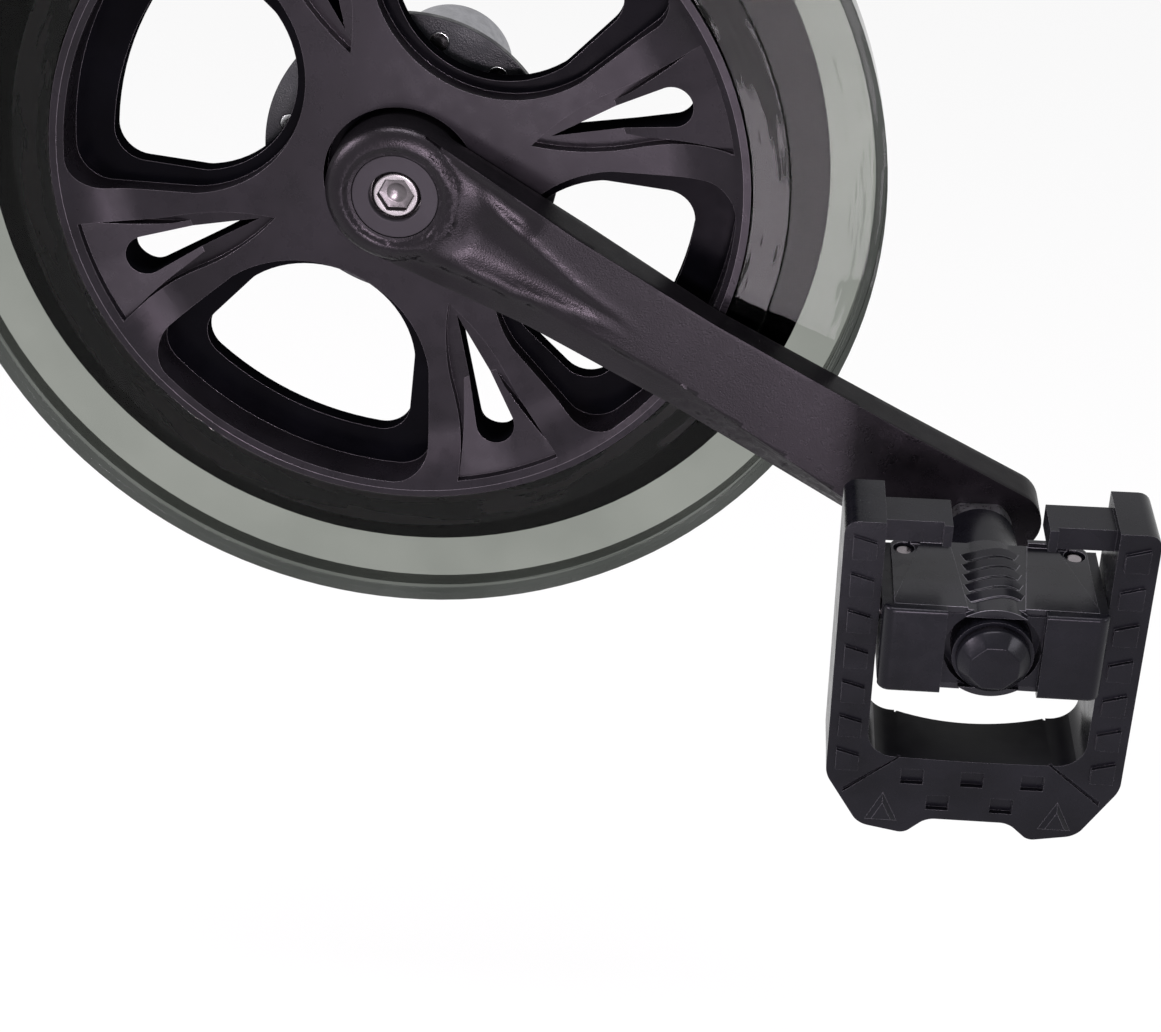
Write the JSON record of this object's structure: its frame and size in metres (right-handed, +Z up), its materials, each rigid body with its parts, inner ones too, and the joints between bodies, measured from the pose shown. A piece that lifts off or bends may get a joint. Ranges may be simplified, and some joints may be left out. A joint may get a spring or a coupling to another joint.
{
  "type": "drive-side bicycle crankset with chain guard and folding pedal",
  "caption": "Bicycle crankset, drive side: threaded bearing cartridge, spindle, chainring, spoked cover, smoked guard ring, crank arm and a pedal whose cage folds.",
  "frame": {"origin": "centre of the bottom bracket, on the spindle axis, midway across the shell", "axes": "+X forward on the bicycle, +Y to the left side along the spindle, +Z up; the drive side faces -Y"},
  "size_m": [0.3078, 0.1993, 0.2628],
  "materials": {
    "bright_steel": "bright zinc-plated steel",
    "spindle_steel": "ground steel",
    "cup_steel": "dull plated steel",
    "cartridge_black": "satin black",
    "crank_black": "textured satin black",
    "chainring_black": "satin black",
    "cover_plastic": "satin black plastic",
    "ring_plastic": "gloss black plastic",
    "smoked_plastic": "smoked clear plastic",
    "pedal_plastic": "satin bluish-black nylon",
    "disc_plastic": "speckled dark grey plastic",
    "magnet_nickel": "bright nickel"
  },
  "bodies": {
    "bottom_bracket": {"bearing_cartridge": "cartridge_black", "drive_side_cup": "cup_steel", "left_side_cup": "cup_steel"},
    "crankset": {"spindle": "spindle_steel", "magnet_disc": "disc_plastic", "sensor_magnets": "magnet_nickel", "chainring": "chainring_black", "spoked_cover": "cover_plastic", "smoked_guard": "smoked_plastic", "inner_guard_ring": "ring_plastic", "crank_arm": "crank_black", "crank_bolt": "bright_steel", "dust_ring": "ring_plastic", "pedal_spindle": "spindle_steel"},
    "pedal": {"pedal_body": "pedal_plastic", "pedal_cover_top": "pedal_plastic", "pedal_cover_bottom": "pedal_plastic", "cover_screw_rear": "bright_steel", "cover_screw_front": "bright_steel", "end_cap": "pedal_plastic", "hinge_pin_rear": "bright_steel", "hinge_pin_front": "bright_steel"},
    "cage": {"pedal_cage": "pedal_plastic"}
  },
  "joints": [
    {"name": "crank_turn", "type": "hinge", "parent": "bottom_bracket", "child": "crankset", "pos_m": [0, 0, 0], "axis": [0, 1, 0], "continuous": true},
    {"name": "pedal_spin", "type": "hinge", "parent": "crankset", "child": "pedal", "pos_m": [0.1501, -0.079, -0.07981], "axis": [0, 1, 0], "continuous": true},
    {"name": "cage_fold", "type": "hinge", "parent": "pedal", "child": "cage", "pos_m": [0.1501, -0.11825, -0.07981], "axis": [-1, 0, 0], "range_deg": [0, 90]}
  ]
}
